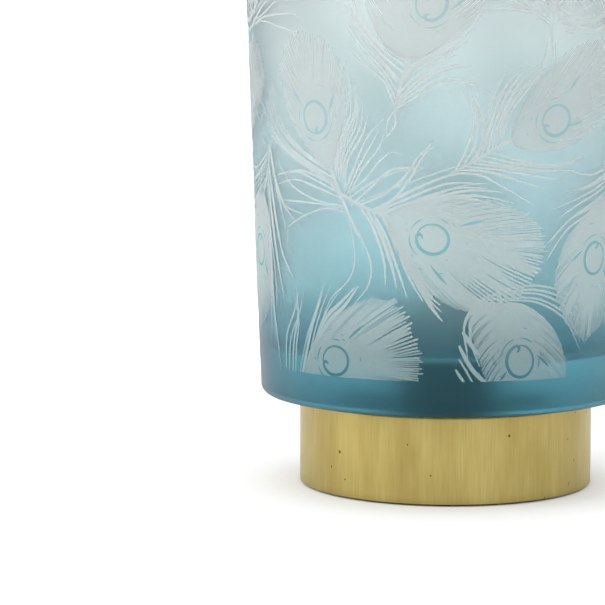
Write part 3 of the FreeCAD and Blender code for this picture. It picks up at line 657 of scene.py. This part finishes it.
def print_mesh(name, ink, turn):
    """The sector's ink on the glass, trimmed at the print's edges."""
    mesh = bpy.data.meshes.new(name)
    mesh.from_pydata([on_glass(v, v[2], turn) for v in ink.verts], [], ink.faces)
    build = bmesh.new()
    build.from_mesh(mesh)
    bmesh.ops.remove_doubles(build, verts=build.verts, dist=2e-6)
    for cut, normal in ((PRINT_LOW, (0, 0, -1)), (PRINT_HIGH, (0, 0, 1))):
        everything = build.verts[:] + build.edges[:] + build.faces[:]
        bmesh.ops.bisect_plane(
            build, geom=everything, plane_co=(0, 0, cut * MM), plane_no=normal, clear_outer=True
        )
    bmesh.ops.dissolve_degenerate(build, dist=1e-6, edges=build.edges)
    for face in build.faces:
        middle = face.calc_center_median()
        if face.normal.dot(Vector((middle.x, middle.y, 0))) < 0:
            face.normal_flip()
    build.to_mesh(mesh)
    build.free()
    return mesh


# Print tones by height. The white and hair tones grow darker towards the foot as painted shade, standing for
# less light passing through from behind. The eye tones follow the glass's own teal ground.
WHITE_SHADED_TONES = (
    (39.0, srgb(156, 180, 183)),
    (60.0, srgb(200, 213, 213)),
    (80.0, srgb(213, 221, 221)),
    (120.0, srgb(208, 214, 214)),
    (200.0, srgb(212, 218, 216)),
)
HAIR_SHADED_TONES = (
    (39.0, srgb(152, 176, 179)),
    (60.0, srgb(182, 198, 200)),
    (80.0, srgb(199, 209, 210)),
    (120.0, srgb(204, 211, 211)),
    (200.0, srgb(210, 216, 215)),
)
EYE_TONES = (
    (39.0, srgb(80, 138, 150)),
    (52.0, srgb(112, 168, 178)),
    (80.0, srgb(150, 206, 210)),
    (115.0, srgb(178, 212, 216)),
    (200.0, srgb(202, 216, 216)),
)


def feather_print():
    """The white print and the eyes drawn over it, in three equal sectors."""
    white = print_ink("print_white", WHITE_SHADED_TONES, 0.7, 0.55)
    fine = print_ink("print_white_fine", HAIR_SHADED_TONES, 0.8, 0.4)
    ground = print_ink("print_ground", EYE_TONES, 0.6, 0.55)
    vanes = Print()
    hairs = Print()
    eyes = Print()
    rng = random.Random(7)
    for i, feather in enumerate(FEATHERS):
        lift = 0.01 + LAYER_STEP * (i % LAYERS)
        for comb in feather.combs:
            draw_comb(hairs, comb, lift, rng)
        hairs.stroke(spline(feather.stem, 8), 1.0, lift, head=1.0, tail=0.4)
        draw_vane(vanes, feather, lift, rng)
        draw_eye(eyes, feather, lift + LAYER_STEP / 2, rng)
    for sector in range(SECTORS):
        turn = 2 * math.pi * sector / SECTORS
        for ink, kind, shade in ((vanes, "vanes", white), (hairs, "hairs", fine), (eyes, "eyes", ground)):
            name = f"print_{kind}_{sector + 1}"
            piece = new_object(name, print_mesh(name, ink, turn), shade, "lamp")
            thick = piece.modifiers.new("ink", "SOLIDIFY")
            thick.thickness = INK * MM
            thick.offset = 1.0


def print_ink(name, tones, alpha, passing):
    """Screen-printed enamel, matt and grainy, coloured by height from its tones: the white print's greying
    towards the foot is painted shade. passing is the light it lets by.
    """
    made, tree, shader = material(name)
    grain = ranged(tree, noise(tree, 1400.0, detail=3.0), 0.93, 1.04)
    colour = mix(tree, 1.0, by_height(tree, tones), grey(tree, grain), "MULTIPLY")
    tree.links.new(colour, shader.inputs["Base Color"])
    shader.inputs["Roughness"].default_value = 0.85
    shader.inputs["Transmission Weight"].default_value = passing
    shader.inputs["IOR"].default_value = 1.15
    shader.inputs["Alpha"].default_value = alpha
    return made


# ---- drum ----
def brushed_brass():
    """Satin brass: fine upright brush marks, soft blotches of tone and a few dark pinpricks."""
    made, tree, shader = material("brushed_brass")
    marks = noise(tree, 1500.0, stretch=(1, 1, 0.05), detail=4.0, roughness=0.6)
    broad = noise(tree, 190.0, stretch=(1, 1, 0.12), detail=3.0)
    blotch = noise(tree, 55.0, stretch=(1, 1, 0.5), detail=3.0)
    toned = ramp(tree, ((0.3, srgb(170, 153, 94)), (0.7, srgb(181, 166, 106))), marks)
    soft = ramp(tree, ((0.35, srgb(240, 238, 232)), (0.65, srgb(255, 255, 255))), broad)
    patchy = ramp(tree, ((0.3, srgb(238, 234, 224)), (0.7, srgb(255, 255, 255))), blotch)
    dots = noise(tree, 600.0, detail=0.0)
    pinprick = ramp(tree, ((0.14, srgb(150, 140, 120)), (0.17, srgb(255, 255, 255))), dots)
    colour = toned
    for layer in (soft, patchy, pinprick):
        colour = mix(tree, 1.0, colour, layer, "MULTIPLY")
    tree.links.new(colour, shader.inputs["Base Color"])
    shader.inputs["Metallic"].default_value = 1.0
    tree.links.new(ranged(tree, marks, 0.36, 0.46), shader.inputs["Roughness"])
    bump(tree, shader, marks, 0.08, 0.00003)
    return made


def drum():
    """The spun drum: deck, eased corner, skirt and hemmed rim."""
    wall = 0.8 * MM
    corner = 1.6 * MM
    hem = 1.4 * MM
    ease = 0.25 * MM
    hole = 14.8 * MM
    low, high, radius = DRUM_LOW, DRUM_HIGH, DRUM_RADIUS
    outline = line((hole, high), (radius - corner, high), 6)
    outline += arc((radius - corner, high - corner), corner, 90, 0, 10)
    outline += line((radius, high - corner), (radius, low + ease), 12)
    outline += arc((radius - ease, low + ease), ease, 0, -90, 5)
    outline += arc((radius - hem + ease, low + ease), ease, -90, -180, 5)
    outline += [(radius - hem, low + 2 * MM), (radius - wall, low + 2.6 * MM)]
    outline += line((radius - wall, low + 2.6 * MM), (radius - wall, high - corner), 8)
    outline += arc((radius - corner, high - corner), corner - wall, 0, 90, 6)
    outline += [(hole, high - wall)]
    mesh = turned("base_drum_fine", outline)
    smooth(mesh)
    return new_object("brass_drum", mesh, brushed_brass(), "lamp", ["base_drum"])


# ---- plain materials for the CAD nodes ----
def plastic(name, colour, roughness, grain=1600.0, depth=0.00003):
    """Moulded plastic with a fine spark-eroded texture."""
    made, tree, shader = material(name)
    fine = noise(tree, grain, detail=2.0)
    toned = mix(tree, 1.0, colour, grey(tree, ranged(tree, fine, 0.8, 1.2)), "MULTIPLY")
    tree.links.new(toned, shader.inputs["Base Color"])
    tree.links.new(ranged(tree, fine, roughness - 0.06, roughness + 0.06), shader.inputs["Roughness"])
    bump(tree, shader, fine, 0.25, depth)
    return made


def metal(name, colour, roughness):
    """Bare or plated metal with faint working marks."""
    made, tree, shader = material(name)
    marks = noise(tree, 700.0)
    toned = mix(tree, 1.0, colour, grey(tree, ranged(tree, marks, 0.85, 1.1)), "MULTIPLY")
    tree.links.new(toned, shader.inputs["Base Color"])
    shader.inputs["Metallic"].default_value = 1.0
    tree.links.new(ranged(tree, marks, roughness - 0.05, roughness + 0.07), shader.inputs["Roughness"])
    return made


def cell_wrap():
    """A cell: a satin printed sleeve with plain stripes, and bare steel on its flat ends."""
    made, tree, shader = material("cell_wrap")
    place = tree.nodes.new("ShaderNodeTexCoord")
    along = tree.nodes.new("ShaderNodeSeparateXYZ")
    tree.links.new(place.outputs["Object"], along.inputs[0])
    distance = node(tree, "ShaderNodeMath", operation="ABSOLUTE")
    tree.links.new(along.outputs["X"], distance.inputs[0])
    sleeve = srgb(70, 76, 82)
    stripe = srgb(196, 200, 202)
    reach = 30.0 * MM
    scaled = ranged(tree, distance.outputs[0], 0.0, 1.0, from_high=reach)
    bands = ((0.0, sleeve), (0.40, stripe), (0.44, sleeve), (0.50, stripe), (0.62, sleeve))
    stripes = ramp(tree, bands, scaled)
    stripes.node.color_ramp.interpolation = "CONSTANT"
    facing = tree.nodes.new("ShaderNodeSeparateXYZ")
    tree.links.new(place.outputs["Normal"], facing.inputs[0])
    squared = node(tree, "ShaderNodeMath", operation="MULTIPLY")
    tree.links.new(facing.outputs["X"], squared.inputs[0])
    tree.links.new(facing.outputs["X"], squared.inputs[1])
    ends = ramp(tree, ((0.3, (0, 0, 0, 1)), (0.6, (1, 1, 1, 1))), squared.outputs[0])
    fine = noise(tree, 900.0, detail=2.0)
    grain = ramp(tree, ((0.3, srgb(240, 240, 240)), (0.7, srgb(255, 255, 255))), fine)
    colour = mix(tree, ends, stripes, srgb(196, 197, 199))
    tree.links.new(mix(tree, 1.0, colour, grain, "MULTIPLY"), shader.inputs["Base Color"])
    tree.links.new(ends, shader.inputs["Metallic"])
    shader.inputs["Roughness"].default_value = 0.28
    return made


def clear_glass(name, colour):
    """Clear polished glass with a barely uneven tint."""
    made, tree, shader = material(name)
    tint = noise(tree, 40.0, detail=1.0)
    lighter = tuple(min(1.0, c * 1.03) for c in colour[:3]) + (1.0,)
    tree.links.new(mix(tree, tint, colour, lighter), shader.inputs["Base Color"])
    shader.inputs["Transmission Weight"].default_value = 1.0
    shader.inputs["IOR"].default_value = 1.45
    shader.inputs["Roughness"].default_value = 0.0
    return made


def cad_materials():
    """One material per slot of the record."""
    return {
        "black_plastic": plastic("black_plastic", srgb(26, 27, 28), 0.5),
        "gasket_rubber": plastic("gasket_rubber", srgb(34, 34, 34), 0.8),
        "foot_rubber": plastic("foot_rubber", srgb(40, 40, 40), 0.85, 900.0, 0.00006),
        "contact_brass": metal("contact_brass", srgb(214, 188, 122), 0.25),
        "cap_nickel": metal("cap_nickel", srgb(205, 202, 196), 0.18),
        "solder": metal("solder", srgb(170, 172, 175), 0.35),
        "cap_insulator": plastic("cap_insulator", srgb(18, 18, 22), 0.12),
        "clear_glass": clear_glass("clear_glass", srgb(244, 248, 249)),
        "phosphor": plastic("phosphor", srgb(238, 202, 92), 0.35),
        "bare_wire": metal("bare_wire", srgb(186, 180, 170), 0.3),
        "zinc_steel": metal("zinc_steel", srgb(180, 183, 188), 0.32),
        "spring_steel": metal("spring_steel", srgb(200, 200, 200), 0.22),
        "cell_wrap": cell_wrap(),
        "board_green": plastic("board_green", srgb(24, 84, 52), 0.3),
        "chip_black": plastic("chip_black", srgb(30, 30, 30), 0.6),
        "can_aluminium": metal("can_aluminium", srgb(206, 208, 212), 0.25),
        "ceramic_chip": plastic("ceramic_chip", srgb(90, 78, 66), 0.4),
        "switch_steel": metal("switch_steel", srgb(190, 190, 192), 0.3),
        "red_wire": plastic("red_wire", srgb(170, 28, 22), 0.4),
        "black_wire": plastic("black_wire", srgb(24, 24, 24), 0.4),
    }


def paint_cad(materials):
    """Gives each carried-over CAD node its slot's material."""
    slots = {part["node"]: part["material_slot"] for part in frame["record"]["subparts"]}
    for name, obj in frame["nodes"].items():
        if slots[name] not in materials:
            continue
        obj.data.materials.clear()
        obj.data.materials.append(materials[slots[name]])


def wound_springs(steel):
    """Wound cone springs from the cells' flat ends to the contact plates, their end turns closed."""
    wire = 0.35 * MM
    narrow = 2.6 * MM
    wide = 4.8 * MM
    turns = 5
    closed = 0.8
    steps = 24
    ends = [Vector(corner).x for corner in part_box("contact_springs")]
    curve = bpy.data.curves.new("wound_springs", "CURVE")
    curve.dimensions = "3D"
    curve.bevel_depth = wire
    curve.bevel_resolution = 3
    curve.use_fill_caps = True
    curve.materials.append(steel)
    for cell in range(3):
        low, high = (Vector(corner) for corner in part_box(f"battery_{cell + 1}"))
        middle = (low + high) / 2
        side = -1 if cell % 2 == 0 else 1
        start, end = (low.x - wire, ends[0] + wire) if side < 0 else (high.x + wire, ends[1] - wire)
        count = turns * steps
        strand = curve.splines.new("POLY")
        strand.points.add(count)
        for i, point in enumerate(strand.points):
            turn = i / steps
            share = min(max((turn - closed) / (turns - 2 * closed), 0.0), 1.0)
            a = 2 * math.pi * turn
            radius = narrow + (wide - narrow) * i / count
            x = start + (end - start) * share
            point.co = (x, middle.y + radius * math.cos(a), middle.z + radius * math.sin(a), 1)
    obj = bpy.data.objects.new("wound_springs", curve)
    bpy.context.collection.objects.link(obj)
    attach(obj, "lamp")
    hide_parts("contact_springs")


# ---- stage ----
def stage():
    """A plain pale floor, an even white sky and two large soft lights."""
    floor_mesh = bpy.data.meshes.new("floor")
    reach = 80.0
    corners = [(x * reach, y * reach, 0) for x, y in ((-1, -1), (1, -1), (1, 1), (-1, 1))]
    floor_mesh.from_pydata(corners, [], [(0, 1, 2, 3)])
    made, _, shader = material("floor_pale")
    shader.inputs["Base Color"].default_value = (0.8, 0.8, 0.8, 1)
    shader.inputs["Roughness"].default_value = 0.9
    floor_mesh.materials.append(made)
    floor = bpy.data.objects.new("floor", floor_mesh)
    bpy.context.collection.objects.link(floor)
    world = bpy.data.worlds.new("studio")
    world.use_nodes = True
    world.node_tree.nodes["Background"].inputs["Color"].default_value = (1, 1, 1, 1)
    world.node_tree.nodes["Background"].inputs["Strength"].default_value = 1.52
    bpy.context.scene.world = world
    soft_light("left", (-1.1, -0.35, 0.5), 5.0, 0.7)
    soft_light("front_right", (0.45, -1.3, 0.7), 1.5, 0.6)


def soft_light(name, place, power, size):
    """A round light aimed at the lamp's middle, with its power in watts and its size in metres."""
    light = bpy.data.lights.new(name, "AREA")
    light.shape = "DISK"
    light.size = size
    light.energy = power
    obj = bpy.data.objects.new(name, light)
    obj.location = place
    obj.rotation_euler = (Vector((0, 0, 0.1)) - Vector(place)).to_track_quat("-Z", "Y").to_euler()
    bpy.context.collection.objects.link(obj)


def camera():
    """The camera stands in front of the lamp and looks past its left side, a little downward."""
    lens = bpy.data.cameras.new("camera")
    lens.sensor_width = 36.0
    lens.lens = 157.2
    obj = bpy.data.objects.new("camera", lens)
    obj.location = (0.0, -0.8186, 0.1497)
    aim = Vector((-0.0447, 0.0, 0.05565))
    obj.rotation_euler = (aim - obj.location).to_track_quat("-Z", "Y").to_euler()
    bpy.context.collection.objects.link(obj)
    bpy.context.scene.camera = obj


bpy.context.scene.view_settings.view_transform = "Standard"
camera()
stage()
cad_looks = cad_materials()
paint_cad(cad_looks)
wound_springs(cad_looks["spring_steel"])
glass_shade()
drum()
feather_print()
